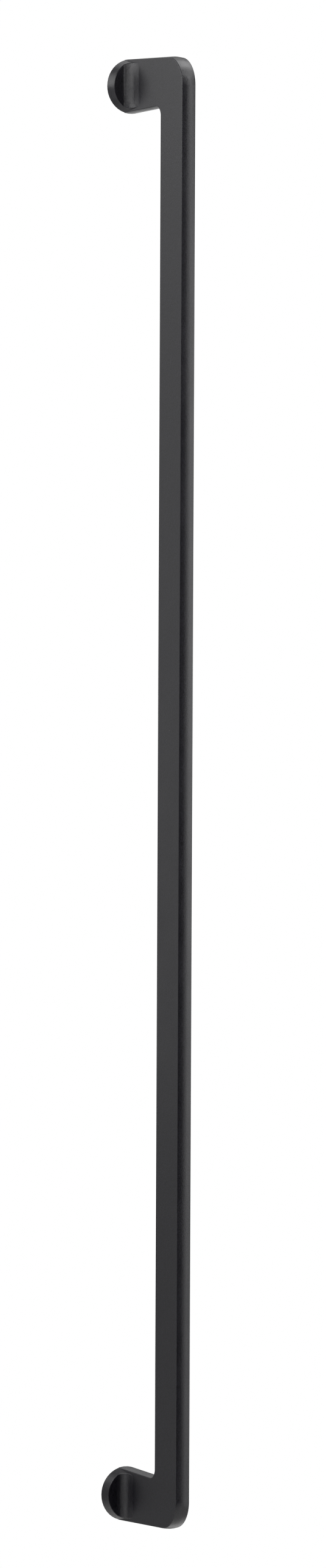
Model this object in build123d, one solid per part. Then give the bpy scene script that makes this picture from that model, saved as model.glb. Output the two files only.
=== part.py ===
from build123d import *

import math
import os

# Long door pull handle, cast in one piece and powder coated. The door face is the plane Y = 0 and the
# handle stands out of it towards -Y, with +Z up. The origin is on the door face, midway between the two
# fixing holes. All sizes are in millimetres.

# Layout on the door
FIXING_CENTRES = 1000.0
PROJECTION = 84.0

# Bar that the hand holds, and the webs, which are as wide as the bar
BAR_DEPTH = 31.0
BAR_WIDTH = 10.8
CROWN_HEIGHT = 0.7
OUTER_CORNER_RADIUS = 20.0
INNER_CORNER_RADIUS = 7.0
WEB_REACH = 18.6
WEB_OUTER_SLANT_DEG = 1.0
WEB_INNER_SLANT_DEG = 3.2

# Round feet with drafted rims, and the concave sweeps from the web's sides down to them
FOOT_DOOR_RADIUS = 19.2
FOOT_DRAFT_DEG = 8.0
FOOT_THICKNESS = 8.3
SWEEP_SPREAD = 6.0
SWEEP_RISE = 13.0

# Blind fixing holes, open at the door face, with the wall at the root of an M8 thread
HOLE_RADIUS = 4.0
HOLE_LENGTH = 15.0
HOLE_POINT_DEG = 118.0
MOUTH_CHAMFER = 0.4

# Softened casting edges
BAR_EDGE_ROUND = 0.5
FOOT_EDGE_ROUND = 0.5

# How far a strip runs past the door face before it is cut off there, and how close counts as touching
DOOR_OVERRUN = 2.0
TOUCHING = 0.01

# Places that follow from the sizes
half_centres = FIXING_CENTRES / 2
half_width = BAR_WIDTH / 2
bar_back = PROJECTION - BAR_DEPTH
outer_slant = math.tan(math.radians(WEB_OUTER_SLANT_DEG))
inner_slant = math.tan(math.radians(WEB_INNER_SLANT_DEG))
foot_draft = math.tan(math.radians(FOOT_DRAFT_DEG))


def web_outer_edge(depth):
    """Height above the middle of the upper web's outer edge, at a depth in front of the door."""
    return half_centres + WEB_REACH - depth * outer_slant


def web_inner_edge(depth):
    """Height above the middle of the upper web's inner edge, at a depth in front of the door."""
    return half_centres - WEB_REACH + depth * inner_slant


def side_profile():
    """The C shape seen from the side, in YZ: upright bar, a web at each end, and the hand gap between."""
    with BuildSketch(Plane.YZ) as profile:
        with BuildLine():
            Polyline(
                (0, web_outer_edge(0)),
                (-PROJECTION, web_outer_edge(PROJECTION)),
                (-PROJECTION, -web_outer_edge(PROJECTION)),
                (0, -web_outer_edge(0)),
                (0, -web_inner_edge(0)),
                (-bar_back, -web_inner_edge(bar_back)),
                (-bar_back, web_inner_edge(bar_back)),
                (0, web_inner_edge(0)),
                close=True,
            )
        make_face()
        front_corners = profile.vertices().group_by(Axis.X)[0]
        fillet(front_corners, OUTER_CORNER_RADIUS)
        gap_corners = [v for v in profile.vertices() if abs(v.X + bar_back) < TOUCHING]
        fillet(gap_corners, INNER_CORNER_RADIUS)
    return profile.sketch


def crown(reach, corner_depth, corner_reach, corner_radius, side):
    """Shallow arched strip along one narrow face of the C, from behind the door face round and back."""
    with BuildLine(Plane.YZ) as path:
        FilletPolyline(
            (DOOR_OVERRUN, reach),
            (-corner_depth, corner_reach),
            (-corner_depth, -corner_reach),
            (DOOR_OVERRUN, -reach),
            radius=corner_radius,
        )
    wire = path.wires()[0]
    start = Plane(origin=wire @ 0, x_dir=(1, 0, 0), z_dir=wire % 0)
    with BuildSketch(start) as arch:
        with BuildLine():
            ThreePointArc((-half_width, 0), (0, side * CROWN_HEIGHT), (half_width, 0))
            Line((half_width, 0), (-half_width, 0))
        make_face()
    return sweep(arch.sketch, path=wire)


def bar_with_webs():
    """Flat-sided C with both narrow faces crowned, and small rounds along all its long edges."""
    body = extrude(side_profile(), amount=half_width, both=True)
    body += crown(
        web_outer_edge(-DOOR_OVERRUN),
        PROJECTION,
        web_outer_edge(PROJECTION),
        OUTER_CORNER_RADIUS,
        1,
    )
    body += crown(
        web_inner_edge(-DOOR_OVERRUN),
        bar_back,
        web_inner_edge(bar_back),
        INNER_CORNER_RADIUS,
        -1,
    )
    body = split(body, bisect_by=Plane.XZ, keep=Keep.TOP)
    long_edges = [
        edge
        for edge in body.edges()
        if abs(abs(edge.center().X) - half_width) < TOUCHING
        and edge.bounding_box().size.X < TOUCHING
        and abs(edge.center().Y) > TOUCHING
    ]
    return fillet(long_edges, BAR_EDGE_ROUND)


def foot_cone(height):
    """Drafted round of the foot at the origin, from the door face out to a height in front of it."""
    round_foot = Cone(
        FOOT_DOOR_RADIUS,
        FOOT_DOOR_RADIUS - height * foot_draft,
        height,
        align=(Align.CENTER, Align.CENTER, Align.MIN),
    )
    return Plane.XZ * round_foot


def sweep_block(side):
    """Concave sweep from one side of the web out to the foot's face, rooted in both of them."""
    root = side * half_width / 2
    wall = side * half_width
    toe = side * (half_width + SWEEP_SPREAD)
    face = -FOOT_THICKNESS
    top = face - SWEEP_RISE
    with BuildSketch(Plane.XY.offset(-FOOT_DOOR_RADIUS)) as section:
        with BuildLine():
            EllipticalCenterArc((toe, top), SWEEP_SPREAD, SWEEP_RISE, start_angle=90, arc_size=side * 90)
            Polyline((toe, face), (toe, face / 2), (root, face / 2), (root, top), (wall, top))
        make_face()
    block = extrude(section.sketch, amount=2 * FOOT_DOOR_RADIUS)
    return block & foot_cone(FOOT_THICKNESS + SWEEP_RISE)


def foot():
    """One foot at the origin: drafted disc, a sweep on each side of the web, and a softened front rim."""
    body = foot_cone(FOOT_THICKNESS) + sweep_block(-1) + sweep_block(1)
    rim_edges = [
        edge
        for edge in body.edges()
        if edge.center().Y < -FOOT_THICKNESS + TOUCHING
        and abs(edge.center().X) > half_width
        and edge.geom_type != GeomType.LINE
    ]
    return fillet(rim_edges, FOOT_EDGE_ROUND)


def fixing_hole():
    """Blind hole from the door face at the origin, with a chamfered mouth and a drill point."""
    point_height = HOLE_RADIUS / math.tan(math.radians(HOLE_POINT_DEG / 2))
    mouth_radius = HOLE_RADIUS + MOUTH_CHAMFER
    with BuildSketch(Plane.XY) as half_section:
        with BuildLine():
            Polyline(
                (0, 0),
                (mouth_radius, 0),
                (HOLE_RADIUS, -MOUTH_CHAMFER),
                (HOLE_RADIUS, -HOLE_LENGTH),
                (0, -HOLE_LENGTH - point_height),
                close=True,
            )
        make_face()
    return revolve(half_section.sketch, axis=Axis.Y)


def pull_handle():
    """The whole casting, in one piece."""
    body = bar_with_webs()
    for end in (-1, 1):
        body += Pos(0, 0, end * half_centres) * foot()
    for end in (-1, 1):
        body -= Pos(0, 0, end * half_centres) * fixing_hole()
    return body


def main():
    os.makedirs("parts", exist_ok=True)
    handle = pull_handle()
    export_step(handle, "parts/pull_handle.step")
    size = handle.bounding_box().size
    print(f"pull_handle {size.X:.2f} x {size.Y:.2f} x {size.Z:.2f} mm, {handle.volume / 1000:.1f} cm3")


main()
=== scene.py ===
import math

import bpy
import numpy as np
from mathutils import Matrix, Vector


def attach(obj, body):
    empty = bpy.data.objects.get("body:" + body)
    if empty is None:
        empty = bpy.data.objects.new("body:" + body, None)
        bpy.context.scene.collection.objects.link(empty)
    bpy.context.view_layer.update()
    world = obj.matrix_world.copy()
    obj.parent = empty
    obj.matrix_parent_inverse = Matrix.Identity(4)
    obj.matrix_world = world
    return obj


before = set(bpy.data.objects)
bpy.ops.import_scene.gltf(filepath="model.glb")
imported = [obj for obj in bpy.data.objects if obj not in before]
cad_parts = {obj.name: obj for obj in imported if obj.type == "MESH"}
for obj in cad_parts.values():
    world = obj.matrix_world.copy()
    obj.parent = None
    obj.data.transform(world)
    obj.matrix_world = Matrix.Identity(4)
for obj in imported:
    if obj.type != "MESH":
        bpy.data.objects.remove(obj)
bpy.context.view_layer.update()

# Lengths are in metres, unless their name says otherwise. The door is the plane Y = 0, the handle stands out
# of it towards -Y, and Z points up.

# Camera: where it stands, how it is turned, and its lens on a 36 mm long side
CAMERA_PLACE = (-2.73615, -4.97815, 0.18967)
CAMERA_YAW_DEG = 29.045
CAMERA_PITCH_DEG = -1.8546
CAMERA_ROLL_DEG = 0.2531
CAMERA_LENS_MM = 183.648
CAMERA_SENSOR_MM = 36.0
CAMERA_REACH = 200

# M8 thread in each fixing hole: the holes' heights, and where along the hole the thread starts and ends
FIXING_HEIGHTS_MM = (500.0, -500.0)
THREAD_START_MM = 0.45
THREAD_END_MM = 14.9

# Section of the thread, with its flats and flanks as shares of the pitch, and the sleeve's outer radius
THREAD_PITCH_MM = 1.25
THREAD_ROOT_MM = 3.98
THREAD_HEIGHT_MM = 0.66
THREAD_ROOT_FLAT = 0.125
THREAD_FLANKS = 0.625
THREAD_SLEEVE_MM = 4.06

# Fineness of the thread's mesh, and the fold from which an edge of it is sharp
THREAD_ROWS_PER_PITCH = 14
THREAD_STEPS = 72
THREAD_SHARP_DEG = 35

# Floor, as far below the middle of the handle as on a real door. It glows by one level for the camera, and
# by another for metal and gloss.
FLOOR_HEIGHT = -1.05
FLOOR_RADIUS = 1.4
FLOOR_STEPS = 96
FLOOR_GLOW = 0.45
FLOOR_SHINE = 0.1

# Studio room behind the handle: how much light it gives, how pale it shows in metal and gloss, and the Y
# of a unit direction from which on it has its full strength
ROOM_LIGHT = 0.25
ROOM_SHINE = 0.31
ROOM_FULL = 0.8

# Panels round the handle: degrees from straight in front of the door, with 90 to the right, height, and
# radiance
PANEL_DISTANCE = 1.5
PANEL_WIDTH = 0.56
PANEL_HEIGHT = 0.85
SIDE_PANELS = (
    (-150, 0.1, 0.31),
    (-150, 0.95, 0.62),
    (-128, 0.95, 2.50),
    (-108, -0.75, 1.00),
    (-108, 0.1, 0.59),
    (-108, 0.95, 3.60),
    (-88, -0.75, 0.65),
    (-88, 0.95, 2.50),
    (-68, -0.75, 0.48),
    (-68, 0.1, 0.33),
    (-68, 0.95, 2.30),
    (-46, 0.95, 1.40),
    (-22, 0.95, 2.60),
    (32, -0.75, 0.94),
    (32, 0.1, 1.01),
    (32, 0.95, 2.72),
    (45, -0.75, 1.23),
    (45, 0.1, 2.30),
    (66, 0.1, 2.20),
    (66, 0.95, 2.00),
)

# Panels above the handle: place to the right and behind, and radiance
TOP_PANEL_HEIGHT = 1.5
TOP_PANEL_SIZE = 0.7
TOP_PANEL_TARGET = (0, 0, 0.45)
TOP_PANELS = (
    (0.3, -0.8, 0.90),
    (0.4, 0.0, 2.69),
    (0.6, 0.5, 0.79),
    (0.7, -0.3, 2.40),
    (0.8, -1.1, 2.20),
)

# Small panels behind and below: name, place, target, width, height and radiance
SMALL_PANELS = (
    ("back_top_panel", (0.15, 1.1, 1.2), (0, 0, 0.5), 0.6, 0.6, 0.58),
    ("back_low_panel", (0.73, 1.26, 0.26), (0, 0, 0.48), 0.4, 0.3, 1.0),
    ("low_right_panel", (0.35, 0.1, -0.98), (0, -0.07, -0.52), 0.5, 0.5, 0.8),
)

# Relief of the coat: size of the orange peel's and the grain's features, depth of the orange peel, and how
# many times as deep the grain is
ORANGE_PEEL_MM = 2.2
GRAIN_MM = 0.8
PEEL_DEPTH_MM = 0.03
GRAIN_DEPTH = 1.4

# Film of the coat: size of its thicker and thinner areas, and what film and grain do to shade and roughness
FILM_MM = 24.0
FILM_SHADE = (0.93, 1.07)
GRAIN_SHADE = (0.4, 1.6)
FILM_ROUGHNESS = (0.28, 0.34)
COAT_IOR = 1.52

# Thinner film and painted highlight at sharp edges, where the coat is drawn lighter to stand in for the
# edges' glint:
# how near the edge it lies, and the cosines of the turn at which it starts to thin and lighten, and is
# thinnest and lightest
EDGE_FILM_AND_GLINT_MM = 0.6
EDGE_START = 0.99
EDGE_THINNEST_AND_BRIGHTEST = 0.9

# Specks of dust on the coat: how far apart they lie, how big one is, and the share of it that is solid
DUST_SPACING_MM = 26.0
DUST_RADIUS_MM = 0.35
DUST_SOLID = 0.6

# Marks of the tap on the thread: their size, and the roughness they give
TOOL_MARK_MM = 0.5
TOOL_ROUGHNESS = (0.28, 0.42)

# Colours of the coat and the surroundings
COAT_BLACK = "#17161C"
# Lighter coat at sharp edges: partly a thinner film, partly a painted highlight for the edges' glint
THIN_COAT_AND_PAINTED_GLINT = "#2E2D33"
DUST_GREY = "#8E8C8A"
ALUMINIUM_GREY = "#C6C7C8"
FLOOR_WHITE = "#F2F1EF"
WHITE = (1, 1, 1, 1)


def linear(hex_colour):
    """Linear RGBA of an sRGB hex colour."""
    channels = [int(hex_colour[i : i + 2], 16) / 255 for i in (1, 3, 5)]
    return [c / 12.92 if c <= 0.04045 else ((c + 0.055) / 1.055) ** 2.4 for c in channels] + [1.0]


def add_node(tree, kind, settings=None, **sockets):
    """A node of one kind, with its settings, and its sockets set to values or linked to other sockets.

    A socket goes by its name, with underscores for spaces, or by an underscore and its number.
    """
    node = tree.nodes.new(kind)
    for name, value in (settings or {}).items():
        setattr(node, name, value)
    for name, value in sockets.items():
        key = int(name[1:]) if name[1:].isdigit() else name.replace("_", " ")
        if isinstance(value, bpy.types.NodeSocket):
            tree.links.new(value, node.inputs[key])
        else:
            node.inputs[key].default_value = value
    return node


def maths(tree, operation, *values):
    """Result of one maths node."""
    sockets = {f"_{i}": value for i, value in enumerate(values)}
    return add_node(tree, "ShaderNodeMath", {"operation": operation}, **sockets).outputs[0]


def between(tree, value, start, end, low=0.0, high=1.0, interpolation="LINEAR"):
    """A value that goes from low to high while another goes from start to end."""
    settings = {"interpolation_type": interpolation}
    ends = {"From_Min": start, "From_Max": end, "To_Min": low, "To_Max": high}
    return add_node(tree, "ShaderNodeMapRange", settings, Value=value, **ends).outputs[0]


def blend(tree, share, first, second):
    """Colour that goes from the first to the second as the share goes from 0 to 1."""
    settings = {"data_type": "RGBA"}
    return add_node(tree, "ShaderNodeMix", settings, Factor=share, _6=first, _7=second).outputs[2]


def noise(tree, place, feature_mm, detail):
    """Noise whose features are a given size on the real surface."""
    sockets = {"Scale": 1000 / feature_mm, "Detail": detail, "Roughness": 0.5}
    return add_node(tree, "ShaderNodeTexNoise", Vector=place, **sockets).outputs["Fac"]


def spread(tree, value, ends):
    """A noise value, which keeps near the middle, spread over a range."""
    return between(tree, value, 0.3, 0.7, *ends)


def ray_kinds(tree):
    """Whether a ray comes from the camera, and whether it comes from metal, gloss or glass."""
    path = tree.nodes.new("ShaderNodeLightPath").outputs
    return path["Is Camera Ray"], maths(tree, "MAXIMUM", path["Is Glossy Ray"], path["Is Transmission Ray"])


def new_material(name):
    """A material with an empty node tree, and that tree."""
    material = bpy.data.materials.new(name)
    material.use_nodes = True
    material.node_tree.nodes.clear()
    return material, material.node_tree


def new_object(name, data):
    """A new object in the scene."""
    thing = bpy.data.objects.new(name, data)
    bpy.context.scene.collection.objects.link(thing)
    return thing


def satin_powder_coat():
    """Satin black polyester powder coat, baked on cast aluminium.

    The melted powder flows into a low orange peel about 2 mm across with a finer grain in it, so the coat
    shines softly and slightly unevenly. It draws back a little from sharp edges, where its colour is lighter:
    partly a thinner film, partly a painted highlight that stands in for the glint on the edges. A few specks
    of dust lie on it. The real grain is finer than a pixel of the photo, and is drawn as coarse as it needs.
    """
    material, tree = new_material("satin_black_powder_coat")
    place = tree.nodes.new("ShaderNodeTexCoord").outputs["Object"]
    orange_peel = noise(tree, place, ORANGE_PEEL_MM, 1.0)
    grain = noise(tree, place, GRAIN_MM, 1.0)
    film = noise(tree, place, FILM_MM, 3.0)
    relief = maths(tree, "MULTIPLY_ADD", grain, GRAIN_DEPTH, orange_peel)
    bump = add_node(tree, "ShaderNodeBump", Strength=1.0, Distance=PEEL_DEPTH_MM / 1000, Height=relief)

    # Sharp edges drawn lighter: partly thinner film, partly a painted highlight standing in for their glint
    rounded = add_node(tree, "ShaderNodeBevel", {"samples": 4}, Radius=EDGE_FILM_AND_GLINT_MM / 1000).outputs[0]
    facing = tree.nodes.new("ShaderNodeNewGeometry").outputs["Normal"]
    turned = add_node(tree, "ShaderNodeVectorMath", {"operation": "DOT_PRODUCT"}, _0=rounded, _1=facing)
    thin_film_and_painted_glint = between(tree, turned.outputs["Value"], EDGE_START, EDGE_THINNEST_AND_BRIGHTEST)
    black = blend(tree, thin_film_and_painted_glint, linear(COAT_BLACK), linear(THIN_COAT_AND_PAINTED_GLINT))

    shade = maths(tree, "MULTIPLY", spread(tree, film, FILM_SHADE), spread(tree, grain, GRAIN_SHADE))
    uneven = add_node(tree, "ShaderNodeHueSaturation", Value=shade, Color=black)

    flakes = add_node(tree, "ShaderNodeTexVoronoi", Vector=place, Scale=1000 / DUST_SPACING_MM)
    dust_radius = DUST_RADIUS_MM / DUST_SPACING_MM
    speck = between(tree, flakes.outputs["Distance"], dust_radius, DUST_SOLID * dust_radius)
    dusty = blend(tree, speck, uneven.outputs[0], linear(DUST_GREY))

    roughness = spread(tree, film, FILM_ROUGHNESS)
    shader = add_node(
        tree, "ShaderNodeBsdfPrincipled",
        Base_Color=dusty, Roughness=roughness, IOR=COAT_IOR, Normal=bump.outputs[0],
    )
    add_node(tree, "ShaderNodeOutputMaterial", Surface=shader.outputs[0])
    return material


def tapped_aluminium():
    """Bare cast aluminium, cut bright by the tap after coating. The tap leaves fine marks, which make it
    shine unevenly."""
    material, tree = new_material("tapped_aluminium")
    place = tree.nodes.new("ShaderNodeTexCoord").outputs["Object"]
    roughness = spread(tree, noise(tree, place, TOOL_MARK_MM, 2.0), TOOL_ROUGHNESS)
    shader = add_node(
        tree, "ShaderNodeBsdfPrincipled",
        Base_Color=linear(ALUMINIUM_GREY), Metallic=1.0, Roughness=roughness,
    )
    add_node(tree, "ShaderNodeOutputMaterial", Surface=shader.outputs[0])
    return material


def closed_grid(name, points):
    """Mesh of a grid of points that closes on itself both along its rows and across them."""
    rows, steps = points.shape[:2]
    across, along = np.meshgrid(np.arange(rows), np.arange(steps), indexing="ij")
    next_row, next_step = (across + 1) % rows, (along + 1) % steps
    corners = [(across, along), (next_row, along), (next_row, next_step), (across, next_step)]
    faces = np.stack([row * steps + step for row, step in corners], axis=-1).reshape(-1, 4)
    mesh = bpy.data.meshes.new(name)
    mesh.from_pydata(points.reshape(-1, 3).tolist(), [], faces.tolist())
    mesh.polygons.foreach_set("use_smooth", np.ones(len(faces), dtype=bool))
    mesh.set_sharp_from_angle(angle=math.radians(THREAD_SHARP_DEG))
    return new_object(name, mesh)


def fixing_thread(name, height_mm, metal):
    """Tapped M8 thread in one fixing hole.

    It is a closed sleeve round the hole's axis. Its outer face is a plain cylinder just inside the metal.
    Its inner face is at the root radius, less the thread height times a wave with a flat root, sloping
    flanks and a flat crest. The wave repeats with each pitch of depth and climbs one pitch a turn. It
    fades in over the first pitch and out over the last.
    """
    turn = np.linspace(0, math.tau, THREAD_STEPS, endpoint=False)
    count = round((THREAD_END_MM - THREAD_START_MM) / THREAD_PITCH_MM * THREAD_ROWS_PER_PITCH)
    depth = np.linspace(THREAD_START_MM, THREAD_END_MM, count)
    phase = (depth[:, None] / THREAD_PITCH_MM + turn[None, :] / math.tau) % 1
    wave = np.clip((np.abs(2 * phase - 1) - THREAD_ROOT_FLAT) / THREAD_FLANKS, 0, 1)
    fade = np.clip(np.minimum(depth - THREAD_START_MM, THREAD_END_MM - depth) / THREAD_PITCH_MM, 0, 1)
    radius = THREAD_ROOT_MM - THREAD_HEIGHT_MM * wave * fade[:, None]
    radius = np.vstack([radius, np.full((2, THREAD_STEPS), THREAD_SLEEVE_MM)])
    depth = np.concatenate([depth, [THREAD_END_MM, THREAD_START_MM]])
    inward = np.broadcast_to(-depth[:, None], radius.shape)
    points = np.stack([radius * np.cos(turn), inward, height_mm + radius * np.sin(turn)], axis=-1)
    thread = closed_grid(name, points / 1000)
    thread.data.materials.append(metal)
    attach(thread, "root")


def studio_world():
    """White background. What lights the handle, and what metal and gloss show, is a room that is pale behind
    the handle and dark in front of it."""
    world = bpy.data.worlds.new("studio")
    world.use_nodes = True
    tree = world.node_tree
    tree.nodes.clear()
    camera_ray, mirrored = ray_kinds(tree)
    direction = tree.nodes.new("ShaderNodeTexCoord").outputs["Generated"]
    backward = add_node(tree, "ShaderNodeSeparateXYZ", Vector=direction).outputs["Y"]
    behind = between(tree, backward, 0.0, ROOM_FULL, interpolation="SMOOTHSTEP")
    level = add_node(tree, "ShaderNodeMix", Factor=mirrored, _2=ROOM_LIGHT, _3=ROOM_SHINE).outputs[0]
    strength = maths(tree, "MULTIPLY", behind, level)
    room = add_node(tree, "ShaderNodeBackground", Color=WHITE, Strength=strength).outputs[0]
    white = add_node(tree, "ShaderNodeBackground", Color=WHITE, Strength=1.0).outputs[0]
    seen = add_node(tree, "ShaderNodeMixShader", _0=camera_ray, _1=room, _2=white)
    add_node(tree, "ShaderNodeOutputWorld", Surface=seen.outputs[0])
    bpy.context.scene.world = world


def softbox(name, place, target, width, height, radiance):
    """Rectangular lamp of one radiance, turned to a target."""
    lamp = bpy.data.lights.new(name, "AREA")
    lamp.shape = "RECTANGLE"
    lamp.size = width
    lamp.size_y = height
    lamp.energy = radiance * math.pi * width * height
    holder = new_object(name, lamp)
    holder.location = place
    holder.rotation_euler = (Vector(target) - Vector(place)).to_track_quat("-Z", "Y").to_euler()
    holder.visible_camera = False


def around(angle_deg, distance, height):
    """Place round the handle: 0 degrees is straight in front of the door, and 90 is to the right."""
    angle = math.radians(angle_deg)
    return (distance * math.sin(angle), -distance * math.cos(angle), height)


def studio_lamps():
    """Soft panels of a product studio, each turned towards the handle."""
    for angle, height, radiance in SIDE_PANELS:
        place = around(angle, PANEL_DISTANCE, height)
        softbox("side_panel", place, (0, 0, height / 2), PANEL_WIDTH, PANEL_HEIGHT, radiance)
    for right, behind, radiance in TOP_PANELS:
        place = (right, behind, TOP_PANEL_HEIGHT)
        softbox("top_panel", place, TOP_PANEL_TARGET, TOP_PANEL_SIZE, TOP_PANEL_SIZE, radiance)
    for panel in SMALL_PANELS:
        softbox(*panel)


def plain_floor():
    """Round pale floor. The camera, metal and gloss see it paler than the lamps light it, and it keeps the
    handle's shadow."""
    mesh = bpy.data.meshes.new("floor")
    turn = np.linspace(0, math.tau, FLOOR_STEPS, endpoint=False)
    height = np.full(FLOOR_STEPS, FLOOR_HEIGHT)
    ring = np.stack([FLOOR_RADIUS * np.cos(turn), FLOOR_RADIUS * np.sin(turn), height], axis=-1)
    mesh.from_pydata(ring.tolist(), [], [list(range(FLOOR_STEPS))])
    floor = new_object("floor", mesh)
    material, tree = new_material("pale_floor")
    camera_ray, mirrored = ray_kinds(tree)
    glow = maths(tree, "MULTIPLY_ADD", camera_ray, FLOOR_GLOW, maths(tree, "MULTIPLY", mirrored, FLOOR_SHINE))
    pale = add_node(tree, "ShaderNodeEmission", Color=linear(FLOOR_WHITE), Strength=glow).outputs[0]
    matt = add_node(tree, "ShaderNodeBsdfDiffuse", Color=linear(FLOOR_WHITE)).outputs[0]
    both = add_node(tree, "ShaderNodeAddShader", _0=matt, _1=pale)
    add_node(tree, "ShaderNodeOutputMaterial", Surface=both.outputs[0])
    mesh.materials.append(material)


def photo_camera():
    """Camera at the photograph's viewing angle."""
    camera = bpy.data.cameras.new("photo_camera")
    camera.lens = CAMERA_LENS_MM
    camera.sensor_width = CAMERA_SENSOR_MM
    camera.sensor_fit = "AUTO"
    camera.clip_end = CAMERA_REACH
    holder = new_object("photo_camera", camera)
    yaw = Matrix.Rotation(-math.radians(CAMERA_YAW_DEG), 4, "Z")
    pitch = Matrix.Rotation(math.pi / 2 + math.radians(CAMERA_PITCH_DEG), 4, "X")
    roll = Matrix.Rotation(math.radians(CAMERA_ROLL_DEG), 4, "Z")
    holder.matrix_world = Matrix.Translation(CAMERA_PLACE) @ yaw @ pitch @ roll
    bpy.context.scene.camera = holder


photo_camera()
studio_world()
studio_lamps()
plain_floor()

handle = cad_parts["pull_handle"]
handle.data.materials.clear()
handle.data.materials.append(satin_powder_coat())

metal = tapped_aluminium()
for name, height_mm in zip(("top_thread", "bottom_thread"), FIXING_HEIGHTS_MM):
    fixing_thread(name, height_mm, metal)

scene = bpy.context.scene
scene.view_settings.view_transform = "Standard"
